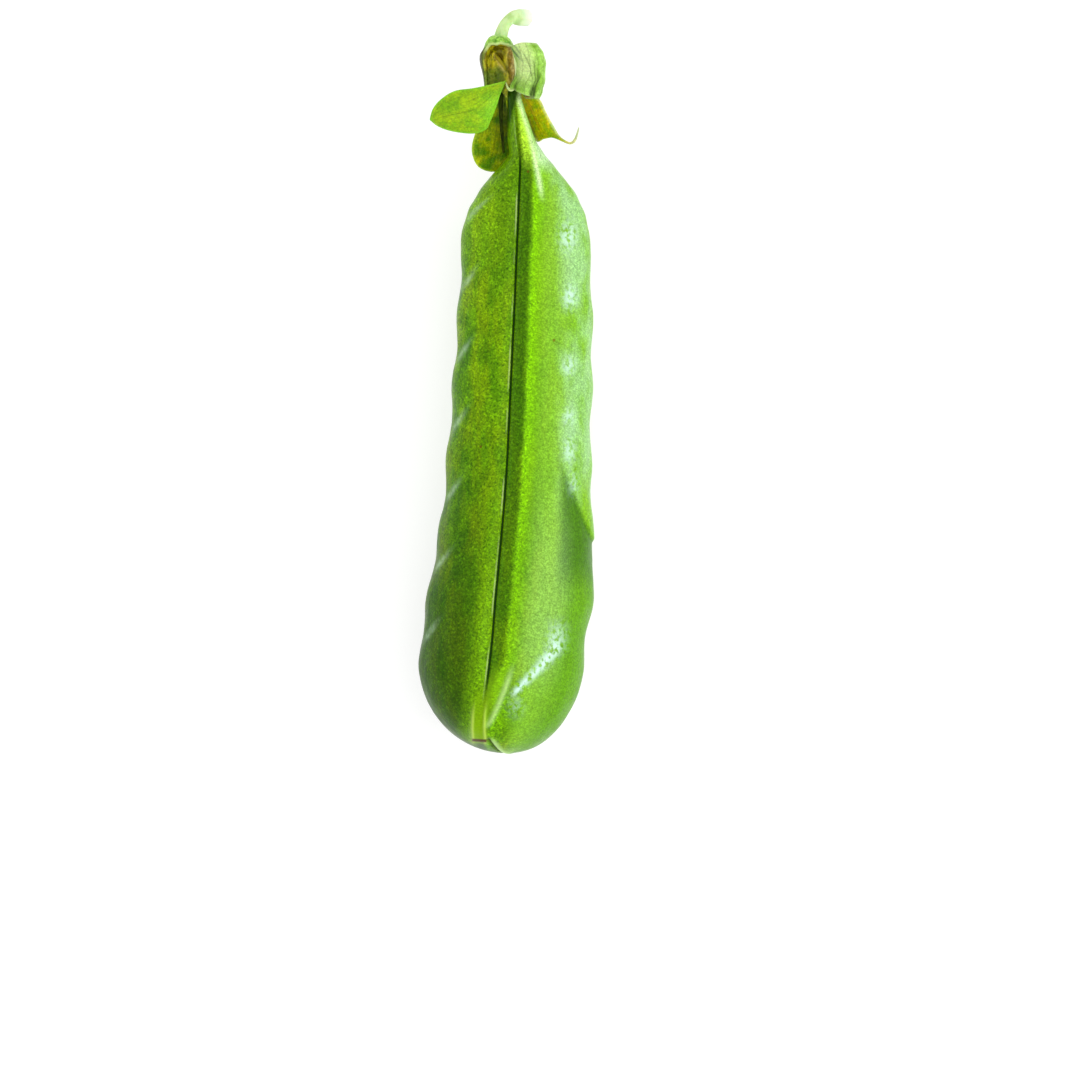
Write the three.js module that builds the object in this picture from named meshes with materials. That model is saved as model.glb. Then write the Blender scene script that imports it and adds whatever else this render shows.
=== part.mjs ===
/**
 * A fresh garden pea pod as picked, with its calyx and a short stalk.
 *
 * Millimetres, +Z up. The pod lies on its rounded back with the seam that would be split to
 * shell it on top. +Y runs along the pod towards the stalk, so the blossom end is at -Y.
 * The closed pod, with its beak and the stipe inside the calyx, grew as one piece and is one
 * solid. The calyx cup, its five sepals, the dried stamens and the stalk are the other pieces.
 *
 * Inside the file, y is measured from the blossom end and z from the surface the pod lies on.
 * The last lines move the origin to the middle of the pod's footprint.
 */
import * as THREE from "three";

// ---------------------------------------------------------------- driving dimensions, mm

const POD_LENGTH = 63; // blossom end to the top of the neck
const BLUNT_END = 9; // length of the rounded blossom end
const MID_HEIGHT = 7.5; // height of the widest line of the pod's body
const BACK_SAG = 0.25; // how far the soft back is pressed flat where it rests

const PEAS = { count: 7, first: 8, pitch: 6.7, swell: 0.22 };

const SEAM = { lipHeight: 0.3, lipOffset: 1.3, lipWidth: 0.55, grooveDepth: 0.45, grooveWidth: 0.4 };
const BEAK = { x: -1.85, start: 6, end: 1.1, halfWidth: 0.75, height: 0.6 };

const SHEET = 0.35; // thickness of a sepal
const GAP = 0.3; // clearance left between neighbouring pieces

const CUP = {
  top: [-3.05, 68.3, 11.2], // where the stalk joins it
  tilt: 0.2, // radians the mouth is turned up
  wall: 0.35,
  radius: 1.7,
  length: 4.5, // dome to rim, round the back and the left
  cleft: 0.85, // dome to rim in the open cleft, where the cup has split
  cleftTurn: 0.4, // how far the middle of the cleft is turned to the right of the top
  cleftHalfAngle: 1.5,
};

// ---------------------------------------------------------------- curves through a few points

/** A smooth function through [x, value] pairs that never overshoots them. */
function smooth(points) {
  const x = points.map((p) => p[0]);
  const v = points.map((p) => p[1]);
  const slope = x.slice(1).map((right, i) => (v[i + 1] - v[i]) / (right - x[i]));
  const tangent = x.map((_, i) => {
    if (i === 0) return slope[0];
    if (i === x.length - 1) return slope[i - 1];
    const before = slope[i - 1];
    const after = slope[i];
    return before * after <= 0 ? 0 : (2 * before * after) / (before + after);
  });
  return (at) => {
    if (at <= x[0]) return v[0];
    if (at >= x[x.length - 1]) return v[x.length - 1];
    let i = 0;
    while (at > x[i + 1]) i += 1;
    const step = x[i + 1] - x[i];
    const t = (at - x[i]) / step;
    const a = v[i] + step * tangent[i] * t;
    const ease = t * t * (3 - 2 * t);
    const b = v[i + 1] - step * tangent[i + 1] * (1 - t);
    return a * (1 - ease) + b * ease;
  };
}

const bell = (distance, width) => Math.exp(-((distance / width) ** 2));
const clamp01 = (t) => Math.min(1, Math.max(0, t));

// ---------------------------------------------------------------- closed solids

function geometryOf(points, triangles) {
  const geometry = new THREE.BufferGeometry().setFromPoints(points);
  geometry.setIndex(triangles);
  geometry.computeVertexNormals();
  return geometry;
}

/**
 * Rings with the same number of points, skinned in order and closed by a point at either end.
 * Each ring turns right-handed about the direction the rings follow.
 */
function skinRings(rings, firstTip, lastTip) {
  const sides = rings[0].length;
  const points = [firstTip, ...rings.flat(), lastTip];
  const last = points.length - 1;
  const at = (ring, side) => 1 + ring * sides + (side % sides);
  const triangles = [];
  for (let side = 0; side < sides; side += 1) {
    triangles.push(0, at(0, side + 1), at(0, side));
    for (let ring = 0; ring < rings.length - 1; ring += 1) {
      triangles.push(at(ring, side), at(ring + 1, side + 1), at(ring + 1, side));
      triangles.push(at(ring, side), at(ring, side + 1), at(ring + 1, side + 1));
    }
    triangles.push(last, at(rings.length - 1, side), at(rings.length - 1, side + 1));
  }
  return geometryOf(points, triangles);
}

/** A surface point(u, v), u along and v across, both from 0 to 1, thickened to both sides. */
function thickSheet(point, rows, columns, thickness = SHEET) {
  const nudge = 1e-3;
  const faces = [[], []];
  for (let row = 0; row <= rows; row += 1) {
    for (let column = 0; column <= columns; column += 1) {
      const u = Math.min(1 - nudge, Math.max(nudge, row / rows));
      const v = Math.min(1 - nudge, Math.max(nudge, column / columns));
      const along = point(u + nudge, v).sub(point(u - nudge, v));
      const across = point(u, v + nudge).sub(point(u, v - nudge));
      const normal = along.cross(across).normalize();
      const middle = point(row / rows, column / columns);
      faces[0].push(middle.clone().addScaledVector(normal, thickness / 2));
      faces[1].push(middle.clone().addScaledVector(normal, -thickness / 2));
    }
  }
  const size = faces[0].length;
  const at = (face, row, column) => face * size + row * (columns + 1) + column;
  const triangles = [];
  const quad = (a, b, c, d) => triangles.push(a, b, c, a, c, d);
  for (let row = 0; row < rows; row += 1) {
    for (let column = 0; column < columns; column += 1) {
      quad(at(0, row, column), at(0, row + 1, column), at(0, row + 1, column + 1), at(0, row, column + 1));
      quad(at(1, row, column), at(1, row, column + 1), at(1, row + 1, column + 1), at(1, row + 1, column));
    }
    quad(at(0, row, 0), at(1, row, 0), at(1, row + 1, 0), at(0, row + 1, 0));
    quad(at(0, row, columns), at(0, row + 1, columns), at(1, row + 1, columns), at(1, row, columns));
  }
  for (let column = 0; column < columns; column += 1) {
    quad(at(0, 0, column), at(0, 0, column + 1), at(1, 0, column + 1), at(1, 0, column));
    quad(at(0, rows, column), at(1, rows, column), at(1, rows, column + 1), at(0, rows, column + 1));
  }
  return geometryOf([...faces[0], ...faces[1]], triangles);
}

// ---------------------------------------------------------------- the pod

// Half width and sideways drift of the body, seen from above, past the rounded end.
const halfWidth = smooth([
  [BLUNT_END, 7.65],
  [14, 7.75],
  [24, 6.95],
  [36, 6.6],
  [48, 6.1],
  [50.8, 5.7],
  [52.7, 4.95],
  [54.6, 3.7],
  [56.1, 2.45],
  [57.5, 1.6],
  [60.3, 1.02],
  [POD_LENGTH, 0.52],
]);
const midX = smooth([
  [0, 0.3],
  [4, -0.15],
  [9, -0.2],
  [20, 0.5],
  [36, 0.55],
  [50, 0.15],
  [56, 0],
  [58.5, -0.8],
  [POD_LENGTH, -1.75],
]);
// Heights of the seam side and of the back, seen from the side, past the rounded end.
const topHeight = smooth([
  [BLUNT_END, 15.3],
  [24, 14.2],
  [48, 12.9],
  [POD_LENGTH, 12.4],
]);
const backHeight = smooth([
  [BLUNT_END, -BACK_SAG],
  [43, -BACK_SAG],
  [47.5, 0.4],
  [52.5, 2.7],
  [56.5, 6.4],
  [60.3, 9.7],
  [POD_LENGTH, 11.2],
]);
const midHeight = smooth([
  [48, MID_HEIGHT],
  [56, 9.2],
  [POD_LENGTH, 11.8],
]);
// Where the seam runs. The whole pod is rolled a little to the left, so it is left of the middle.
const seamX = smooth([
  [1, -2.1],
  [5, -1.75],
  [14.5, -1.2],
  [34, -0.7],
  [55, -0.75],
  [59, -1.2],
  [POD_LENGTH, -1.75],
]);

/** How full the rounded end is at y: 0 at its tip, 1 where the body starts. */
function fullness(y, bluntness) {
  const left = 1 - clamp01(y / BLUNT_END);
  return (1 - left ** bluntness) ** (1 / bluntness);
}

/** The peas press the side walls outwards, most at the height of the peas. */
function peaSwell(y) {
  const last = PEAS.first + PEAS.pitch * (PEAS.count - 1);
  const nearest = Math.min(last, Math.max(PEAS.first, y));
  const wave = 0.5 + 0.5 * Math.cos((2 * Math.PI * (nearest - PEAS.first)) / PEAS.pitch);
  return PEAS.swell * wave * bell(y - nearest, PEAS.pitch / 2);
}

/** Two lips with a groove between them, fading out on the thin neck and at the rounded end. */
function seamRelief(y, fromSeam) {
  const size = clamp01(halfWidth(Math.max(y, BLUNT_END)) / 5) * clamp01(y / 5);
  const lips = SEAM.lipHeight * bell(Math.abs(fromSeam) - SEAM.lipOffset, SEAM.lipWidth);
  return size * (lips - SEAM.grooveDepth * bell(fromSeam, SEAM.grooveWidth));
}

/** The beak is what is left of the style: a short ridge that ends the seam. */
function beakRelief(y, x) {
  const ramp = clamp01((BEAK.start - y) / (BEAK.start - BEAK.end)) * clamp01((y - 0.4 * BEAK.end) / 0.4);
  return BEAK.height * ramp * bell(x - BEAK.x, BEAK.halfWidth);
}

/** angle is 0 on top and grows towards +X. */
function podPoint(y, angle) {
  const body = Math.max(y, BLUNT_END);
  const side = Math.sin(angle);
  const up = Math.cos(angle);
  const middle = midHeight(body);
  const reach = up > 0 ? topHeight(body) - middle : middle - backHeight(body);
  const x = midX(y) + side * (halfWidth(body) * fullness(y, 2.1) + peaSwell(y) * side * side);
  let z = middle + up * reach * fullness(y, up > 0 ? 2.1 + 0.7 * up : 2.1);
  if (up > 0) z += up * (seamRelief(y, x - seamX(y)) + beakRelief(y, x));
  return new THREE.Vector3(x, y, Math.max(0, z));
}

function podGeometry() {
  const endRings = 8;
  const bodyRings = 46;
  const sides = 40;
  const crowding = 0.5; // how much closer the points stand round the seam
  const stations = [];
  for (let i = 1; i <= endRings; i += 1) {
    stations.push(BLUNT_END * (1 - Math.cos((Math.PI / 2) * (i / endRings))));
  }
  for (let i = 1; i <= bodyRings; i += 1) {
    stations.push(BLUNT_END + ((POD_LENGTH - BLUNT_END) * i) / bodyRings);
  }
  const rings = stations.map((y) => {
    const body = Math.max(y, BLUNT_END);
    const seamAngle = Math.asin((seamX(y) - midX(y)) / Math.max(halfWidth(body) * fullness(y, 2.1), 3));
    return Array.from({ length: sides }, (_, i) => {
      const turn = 2 * Math.PI * (i / sides);
      return podPoint(y, seamAngle + turn - crowding * Math.sin(turn));
    });
  });
  const stipe = [
    { y: 64, x: -2.2, z: 12, radius: 0.38 },
    { y: 65.4, x: -2.85, z: 12, radius: 0.3 },
  ];
  for (const { y, x, z, radius } of stipe) {
    rings.push(
      Array.from({ length: sides }, (_, i) => {
        const turn = 2 * Math.PI * (i / sides);
        const angle = turn - crowding * Math.sin(turn);
        return new THREE.Vector3(x + radius * Math.sin(angle), y, z + radius * Math.cos(angle));
      }),
    );
  }
  return skinRings(rings, new THREE.Vector3(midX(0), 0, MID_HEIGHT), new THREE.Vector3(-2.9, 65.55, 12));
}

// ---------------------------------------------------------------- the calyx cup

/** Distance from the dome to the rim. angle is 0 on top and grows to the left. */
function rimDistance(angle) {
  const turn = angle + CUP.cleftTurn;
  const fromCleft = Math.abs(Math.atan2(Math.sin(turn), Math.cos(turn))) - CUP.cleftHalfAngle;
  const open = clamp01(0.5 - fromCleft / 0.8);
  const ease = open * open * (3 - 2 * open);
  return CUP.length + (CUP.cleft - CUP.length) * ease;
}

/** A bell with a thick domed top. Its rim is high in the cleft and low everywhere else. */
function cupGeometry() {
  const sides = 28;
  const outside = smooth([
    [0, 0.5],
    [0.3, 1],
    [1.05, 1.35],
    [2.4, CUP.radius],
    [CUP.length, CUP.radius - 0.1],
  ]);
  const floor = 1.6; // depth of the solid dome
  const steps = 6;
  const ring = (place) =>
    Array.from({ length: sides }, (_, i) => {
      const angle = (2 * Math.PI * i) / sides;
      const [along, radius] = place(rimDistance(angle));
      return new THREE.Vector3(-radius * Math.sin(angle), -along, radius * Math.cos(angle));
    });
  const rings = [];
  for (let i = 0; i <= steps; i += 1) {
    rings.push(ring((rim) => [(rim * i) / steps, outside((rim * i) / steps)]));
  }
  for (let i = steps; i >= 1; i -= 1) {
    rings.push(
      ring((rim) => {
        const along = floor + ((rim - floor) * i) / steps;
        return [along, (outside(along) - CUP.wall) * (i / steps) ** 0.35];
      }),
    );
  }
  const geometry = skinRings(rings, new THREE.Vector3(0, 0, 0), new THREE.Vector3(0, -floor, 0));
  geometry.rotateX(-CUP.tilt);
  geometry.translate(...CUP.top);
  return geometry;
}

// ---------------------------------------------------------------- sepals

const curveThrough = (points) => new THREE.CatmullRomCurve3(points.map((p) => new THREE.Vector3(...p)));

/** A blade between two edges that both run from its base to its tip, bulging by camber. */
function bladeGeometry({ left, right, camber, rows = 12, columns = 6 }) {
  const leftEdge = curveThrough(left);
  const rightEdge = curveThrough(right);
  const surface = (u, v) => {
    const point = leftEdge.getPointAt(u).lerp(rightEdge.getPointAt(u), v);
    point.z += camber * Math.sin(Math.PI * v) * Math.sin(Math.PI * u);
    return point;
  };
  return thickSheet(surface, rows, columns);
}

const BLADES = {
  // Bent out to the left, face up.
  sepal_upper_left: {
    left: [
      [-3.3, 63.3, 12.9],
      [-3.2, 61.6, 12.4],
      [-3.7, 60.2, 12],
      [-4.3, 59.1, 11.7],
      [-5.6, 58.65, 11.5],
      [-7.4, 58.8, 11.4],
      [-9.4, 59.7, 11.2],
    ],
    right: [
      [-3.6, 63.4, 12.9],
      [-5.6, 63.1, 12.8],
      [-7.3, 62.6, 12.4],
      [-8.6, 61.7, 11.9],
      [-9.5, 60.1, 11.3],
    ],
    camber: 0.5,
  },
  // Hangs behind the neck on the left, its inner edge tucked under the neck.
  sepal_lower_left: {
    left: [
      [-3.5, 63.3, 10.2],
      [-4.5, 60.6, 9.9],
      [-5.3, 58.5, 9.5],
      [-5.4, 57.2, 9.1],
      [-4.9, 55.9, 8.7],
      [-4.3, 55.4, 8.4],
    ],
    right: [
      [-2.7, 63.2, 10],
      [-2.3, 61, 8.9],
      [-1.9, 59.3, 7.9],
      [-1.8, 58, 7.3],
      [-2.5, 57, 7.7],
      [-3.2, 56, 8],
      [-3.9, 55.4, 8.3],
    ],
    camber: -0.3,
  },
  // Hangs behind the neck on the right. Its blade is torn short and ends in a thin curled point.
  sepal_lower_right: {
    left: [
      [-1.1, 63, 9.7],
      [-0.8, 61.2, 9.1],
      [-0.1, 59.7, 8.5],
      [0.7, 58.45, 8.6],
      [1.3, 58.6, 9.4],
      [2.1, 58.75, 10],
      [3.1, 58.3, 10.4],
      [3.9, 58.1, 10.5],
      [4.5, 58.5, 10.5],
      [4.7, 59.7, 10.5],
    ],
    right: [
      [-0.4, 62.9, 10.2],
      [0.8, 62.1, 10.5],
      [1.4, 61.1, 10.5],
      [2.2, 59.8, 10.5],
      [2.9, 58.9, 10.5],
      [3.8, 58.4, 10.5],
      [4.2, 58.7, 10.5],
      [4.4, 59.7, 10.5],
    ],
    camber: 0.2,
    rows: 20,
    columns: 4,
  },
  // Hangs below the neck, between the other two and the pod's back.
  sepal_lower_middle: {
    left: [
      [-2.8, 63.2, 9.2],
      [-2.7, 61, 7.5],
      [-2.4, 59.2, 5.9],
      [-1.6, 58, 4.4],
      [-1.1, 57.4, 3.6],
    ],
    right: [
      [-1.8, 63.2, 9.2],
      [-0.7, 61, 7.5],
      [-0.4, 59.2, 5.9],
      [-0.6, 58, 4.4],
      [-0.8, 57.4, 3.6],
    ],
    camber: -0.3,
  },
};

/** The fifth sepal is rolled into a tube that lies to the right of the cup. */
function rolledSepalGeometry() {
  const middleX = smooth([
    [62.4, 0.15],
    [64.4, 0.25],
    [66, 0.05],
    [67.4, -0.45],
  ]);
  const radius = smooth([
    [62.4, 0.95],
    [63.4, 1.25],
    [65.4, 1.25],
    [67.4, 0.75],
  ]);
  const top = 67.4;
  const length = 5;
  const axisHeight = 12.7;
  const openEdge = -1.5; // angle from straight up, growing to the right
  const innerEdge = 3.4;
  const tightening = 0.15; // how much the inner end of the roll is drawn in
  const surface = (u, v) => {
    const y = top - length * u;
    const angle = openEdge + (innerEdge - openEdge) * v;
    const r = radius(y) * (1 - tightening * v);
    return new THREE.Vector3(middleX(y) + r * Math.sin(angle), y, axisHeight + r * Math.cos(angle));
  };
  return thickSheet(surface, 8, 16);
}

// ---------------------------------------------------------------- dried stamens and stalk

/** What is left of the stamens: a brown thread lying along the left of the neck. */
function stamenGeometry() {
  const path = curveThrough([
    [-3, 63.4, 11.6],
    [-2.95, 61.5, 11.2],
    [-2.8, 59.5, 10.6],
    [-2.6, 58, 10.1],
    [-2.55, 57.2, 9.8],
  ]);
  return tubeGeometry(path, (u) => 0.2 - 0.08 * u, 10, 8);
}

function stalkGeometry() {
  const path = curveThrough([
    [-2.85, 68.3 + 1.6 * GAP, 11.25],
    [-2.6, 69.4, 11],
    [-2, 70, 10.5],
    [-1.2, 70.15, 9.7],
    [-0.6, 70.1, 8.9],
  ]);
  const radius = smooth([
    [0, 0.62],
    [0.35, 0.52],
    [0.8, 0.62],
    [1, 0.75],
  ]);
  return tubeGeometry(path, radius, 16, 14);
}

/** A round stem of changing radius along a path, with flat ends. */
function tubeGeometry(path, radius, steps, sides) {
  const frames = path.computeFrenetFrames(steps, false);
  const rings = [];
  for (let i = 0; i <= steps; i += 1) {
    const centre = path.getPointAt(i / steps);
    const r = radius(i / steps);
    rings.push(
      Array.from({ length: sides }, (_, k) => {
        const angle = (2 * Math.PI * k) / sides;
        return centre
          .clone()
          .addScaledVector(frames.normals[i], r * Math.cos(angle))
          .addScaledVector(frames.binormals[i], r * Math.sin(angle));
      }),
    );
  }
  return skinRings(rings, path.getPointAt(0), path.getPointAt(1));
}

// ---------------------------------------------------------------- materials and assembly

const material = (color, roughness) => new THREE.MeshStandardMaterial({ color, roughness, metalness: 0 });
const podSkin = material(0x6aa51e, 0.42);
const calyxGreen = material(0x84b93c, 0.55);
const sepalGreen = material(0x86b814, 0.5);
const driedBrown = material(0x6b5418, 0.8);
const stalkGreen = material(0xa9d48a, 0.5);

const peaPod = new THREE.Group();

function addPiece(name, geometry, skin) {
  const mesh = new THREE.Mesh(geometry, skin);
  mesh.name = name;
  peaPod.add(mesh);
}

addPiece("pod", podGeometry(), podSkin);
addPiece("calyx_cup", cupGeometry(), calyxGreen);
for (const [name, blade] of Object.entries(BLADES)) addPiece(name, bladeGeometry(blade), sepalGreen);
addPiece("sepal_upper_right", rolledSepalGeometry(), calyxGreen);
addPiece("dried_stamens", stamenGeometry(), driedBrown);
addPiece("stalk", stalkGeometry(), stalkGreen);

const bounds = new THREE.Box3().setFromObject(peaPod);
const centre = bounds.getCenter(new THREE.Vector3());
peaPod.position.set(-centre.x, -centre.y, -bounds.min.z);

export default peaPod;
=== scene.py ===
"""A garden pea pod lying on its back with its seam on top, and its calyx and stalk.

Sizes are millimetres in the part's own axes: x across, y along from the blossom end, z up from
the surface the pod lies on. to_frame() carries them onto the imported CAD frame, in metres.
"""

import math

import bpy
import numpy as np
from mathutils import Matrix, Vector, noise


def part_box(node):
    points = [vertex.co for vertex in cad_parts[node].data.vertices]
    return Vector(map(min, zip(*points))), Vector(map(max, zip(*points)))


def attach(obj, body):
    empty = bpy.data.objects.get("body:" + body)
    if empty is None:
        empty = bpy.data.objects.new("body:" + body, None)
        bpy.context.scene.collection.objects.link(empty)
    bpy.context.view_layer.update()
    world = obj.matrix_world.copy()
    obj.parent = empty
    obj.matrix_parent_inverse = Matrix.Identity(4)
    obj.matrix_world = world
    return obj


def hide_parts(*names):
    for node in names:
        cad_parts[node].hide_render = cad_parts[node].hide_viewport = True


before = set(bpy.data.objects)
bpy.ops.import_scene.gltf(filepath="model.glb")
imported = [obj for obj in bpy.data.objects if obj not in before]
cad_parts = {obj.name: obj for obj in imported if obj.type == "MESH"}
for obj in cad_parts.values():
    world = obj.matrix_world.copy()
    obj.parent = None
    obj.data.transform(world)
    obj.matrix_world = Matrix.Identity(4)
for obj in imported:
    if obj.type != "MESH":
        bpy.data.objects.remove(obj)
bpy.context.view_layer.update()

# ---------------------------------------------------------------- driving dimensions, mm

POD_LENGTH = 63.0  # blossom end to the top of the neck
POD_AND_STIPE = 65.55
BLUNT_END = 9.0  # length of the rounded blossom end
END_BLUNTNESS = 2.1
MID_HEIGHT = 7.5
BACK_SAG = 0.25

PEA_COUNT = 7
FIRST_PEA = 8.0
PEA_PITCH = 6.7
PEA_SWELL = 0.24

# x, y, width and length of a patch of painted highlight, and how strong it is
HIGHLIGHT_PATCHES = [
    (4.1, 49.4, 0.75, 1.3, 1.0),
    (4.55, 43.6, 0.6, 1.0, 1.0),
    (4.75, 37.1, 0.6, 0.9, 0.8),
    (4.95, 32.2, 0.5, 0.8, 0.7),
    (5.15, 29.1, 0.6, 1.2, 0.7),
    (5.7, 26.0, 0.5, 1.0, 0.5),
    (1.2, 4.6, 0.7, 0.9, 0.35),
]

BEAK_TIP = 1.02
BEAK_HALF_WIDTH = 0.66
BEAK_HEIGHT = 0.55

CUP_TOP = (-3.33, 68.1, 11.2)
CUP_TILT = 0.2
CUP_LENGTH = 5.0
CUP_CLEFT = 1.15
CUP_CLEFT_TURN = 0.4
CUP_CLEFT_HALF_ANGLE = 1.5
CUP_RADIUS = 1.77
CUP_WALL = 0.3
CUP_FLOOR = 1.1  # from the top of the dome down to the floor of the cup's hollow

DENT_EDGE = (5.77, 25.3)  # x and y where the dent's crisp edge meets the pod's outline
DENT_DEPTH = 0.22

ROLL_TOP = 67.4
ROLL_FOOT = 63.1
ROLL_HEIGHT = 12.7
ROLL_START = -1.55  # where round the roll its open edge is, and how far it turns, in radians
ROLL_TURN = 5.0
LIP_MARGIN = 1.6  # how pale the roll's curled margin is

CAMERA_HEIGHT = 1.2  # metres above the pod's middle
PICTURE_WIDTH = 102.9
PICTURE_MIDDLE = (2.75, 20.44, MID_HEIGHT)
PICTURE_TURN = 2.65  # degrees


# ---------------------------------------------------------------- curves and noise


def smooth(points):
    """A smooth function through (x, value) pairs that never overshoots them."""
    x = np.array([p[0] for p in points], float)
    v = np.array([p[1] for p in points], float)
    slope = np.diff(v) / np.diff(x)
    tangent = np.empty(len(x))
    tangent[0] = slope[0]
    tangent[-1] = slope[-1]
    for i in range(1, len(x) - 1):
        before, after = slope[i - 1], slope[i]
        tangent[i] = 0 if before * after <= 0 else 2 * before * after / (before + after)

    def at(where):
        where = np.clip(np.asarray(where, float), x[0], x[-1])
        i = np.clip(np.searchsorted(x, where, side="right") - 1, 0, len(x) - 2)
        step = x[i + 1] - x[i]
        t = (where - x[i]) / step
        a = v[i] + step * tangent[i] * t
        b = v[i + 1] - step * tangent[i + 1] * (1 - t)
        ease = t * t * (3 - 2 * t)
        return a * (1 - ease) + b * ease

    return at


def bell(distance, width):
    return np.exp(-((distance / width) ** 2))


def fade(value, start, end):
    """0 at start, 1 at end, eased, and it may run either way."""
    t = np.clip((np.asarray(value, float) - start) / (end - start), 0, 1)
    return t * t * (3 - 2 * t)


def ramp_up(value, softness):
    """0 below zero and value above it, with a rounded corner."""
    return (value + np.sqrt(value * value + softness * softness)) / 2


def lumps(x, y, z, size, octaves=3):
    """Seeded, smooth noise from -1 to 1 with lumps of about that size."""
    flat = zip(np.ravel(x) / size, np.ravel(y) / size, np.ravel(z) / size)
    values = [noise.fractal((a, b, c), 1.0, 2.0, octaves) for a, b, c in flat]
    return np.array(values).reshape(np.shape(x))


def through(points, count):
    """Evenly spaced positions along a smooth curve through a few points."""
    p = np.array(points, float)
    p = np.vstack([2 * p[0] - p[1], p, 2 * p[-1] - p[-2]])
    fine = []
    for i in range(1, len(p) - 2):
        t = np.linspace(0, 1, 24, endpoint=False)[:, None]
        a, b, c, d = p[i - 1], p[i], p[i + 1], p[i + 2]
        fine.append(
            b
            + (c - a) * t / 2
            + (2 * a - 5 * b + 4 * c - d) * t**2 / 2
            + (3 * b - a - 3 * c + d) * t**3 / 2
        )
    fine = np.vstack(fine + [p[-2:-1]])
    length = np.r_[0, np.cumsum(np.linalg.norm(np.diff(fine, axis=0), axis=1))]
    where = np.linspace(0, length[-1], count)
    return np.stack([np.interp(where, length, fine[:, k]) for k in range(3)], axis=1)


# ---------------------------------------------------------------- the pod's outline

half_width = smooth(
    [
        (BLUNT_END, 7.65),
        (14, 7.75),
        (24, 6.95),
        (36, 6.45),
        (48, 5.97),
        (50.8, 5.65),
        (52.7, 4.95),
        (54.6, 3.7),
        (56.1, 2.45),
        (57.5, 1.6),
        (60.3, 1.02),
        (POD_LENGTH, 0.52),
    ]
)
mid_x = smooth(
    [
        (0, 0.15),
        (3, -0.32),
        (6, -0.38),
        (10, -0.28),
        (20, 0.45),
        (36, 0.4),
        (50, 0.1),
        (56, 0),
        (58.5, -0.8),
        (POD_LENGTH, -1.75),
    ]
)
top_height = smooth([(BLUNT_END, 15.3), (24, 14.2), (48, 12.9), (POD_LENGTH, 12.4)])
back_height = smooth(
    [
        (BLUNT_END, -BACK_SAG),
        (43, -BACK_SAG),
        (47.5, 0.4),
        (52.5, 2.7),
        (56.5, 6.4),
        (60.3, 9.7),
        (POD_LENGTH, 11.2),
    ]
)
mid_height = smooth([(48, MID_HEIGHT), (56, 9.2), (POD_LENGTH, 11.8)])
seam_x = smooth(
    [
        (1, -2.1),
        (5, -1.75),
        (14.5, -1.2),
        (34, -0.7),
        (55, -0.75),
        (59, -1.2),
        (POD_LENGTH, -1.75),
    ]
)
# How far the crests of the two lips stand from the seam.
left_lip = smooth([(1.3, 0.6), (5.5, 1.2), (9, 1.3), (36, 1.2), (54, 1), (58, 0.7), (61, 0.4)])
right_lip = smooth(
    [(1.3, 0.6), (5, 0.65), (7.6, 0.95), (9.5, 1.4), (54, 1.25), (58, 0.9), (61, 0.5)]
)
groove_slope = smooth([(1.3, 0.06), (4, 0.1), (9, 0.24), (50, 0.26), (57, 0.24), (61, 0.1)])
neck_ridge_x = smooth(
    [(52.7, 1.48), (54.2, 1.15), (56.2, 0.68), (58.2, 0.2), (59.7, -0.3), (62, -1.15)]
)
neck_dark_x = smooth([(57.5, -2.5), (60, -1.9), (62, -1.45), (63, -1.15)])
highlight_streak_x = smooth([(5.6, 0.9), (6.4, 1.5), (7.85, 2.8), (9.3, 4.0), (10.6, 4.7), (12.5, 4.75)])
beak_x = smooth([(1.3, -2.13), (3, -2.28), (5.5, -2.1), (8, -1.75)])
beak_fold_x = smooth([(2.4, -1.45), (5, -0.33), (8.4, 0.72)])
back_crease_x = smooth(
    [(0, 0.5), (5, 0.45), (7.5, 0.4), (9.5, 0.15), (10.4, -0.2), (12, -0.87), (13, -1.4)]
)


def fullness(y, bluntness):
    """How full the rounded end is: 0 at its tip, 1 where the body starts."""
    left = 1 - np.clip(y / BLUNT_END, 0, 1)
    return (1 - left**bluntness) ** (1 / bluntness)


def pea_wave(y):
    """1 over each pea, 0 between peas and past the last ones."""
    last = FIRST_PEA + PEA_PITCH * (PEA_COUNT - 1)
    nearest = np.clip(y, FIRST_PEA, last)
    wave = 0.5 + 0.5 * np.cos(2 * np.pi * (nearest - FIRST_PEA) / PEA_PITCH)
    return wave * bell(y - nearest, PEA_PITCH / 2)


# ---------------------------------------------------------------- meshes in the frame


def pod_box_mm():
    """The box of the pod's plain outline, which is the box of its CAD node."""
    y = np.linspace(BLUNT_END, POD_LENGTH, 400)
    reach = half_width(y) + PEA_SWELL * pea_wave(y)
    return (mid_x(y) - reach).min(), (mid_x(y) + reach).max()


POD_LO, POD_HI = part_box("pod")
METRES = (POD_HI.y - POD_LO.y) / POD_AND_STIPE  # metres in a millimetre
X_ORIGIN = (POD_LO.x + POD_HI.x) / 2 - METRES * sum(pod_box_mm()) / 2


def to_frame(points):
    """Millimetres in the part's own axes to metres in the frame."""
    return np.asarray(points, float) * METRES + np.array([X_ORIGIN, POD_LO.y, POD_LO.z])


def add_piece(name, points, faces, node, material, values=None):
    """A smooth-shaded mesh that stands for a CAD node, with named numbers at its points."""
    mesh = bpy.data.meshes.new(name)
    mesh.from_pydata(to_frame(points).tolist(), [], faces)
    mesh.validate()
    mesh.shade_smooth()
    for key, numbers in (values or {}).items():
        attribute = mesh.attributes.new(key, "FLOAT", "POINT")
        attribute.data.foreach_set("value", np.ravel(numbers).astype(np.float32))
    mesh.materials.append(material)
    piece = bpy.data.objects.new(name, mesh)
    bpy.context.scene.collection.objects.link(piece)
    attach(piece, "root")
    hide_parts(node)
    return piece


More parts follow.
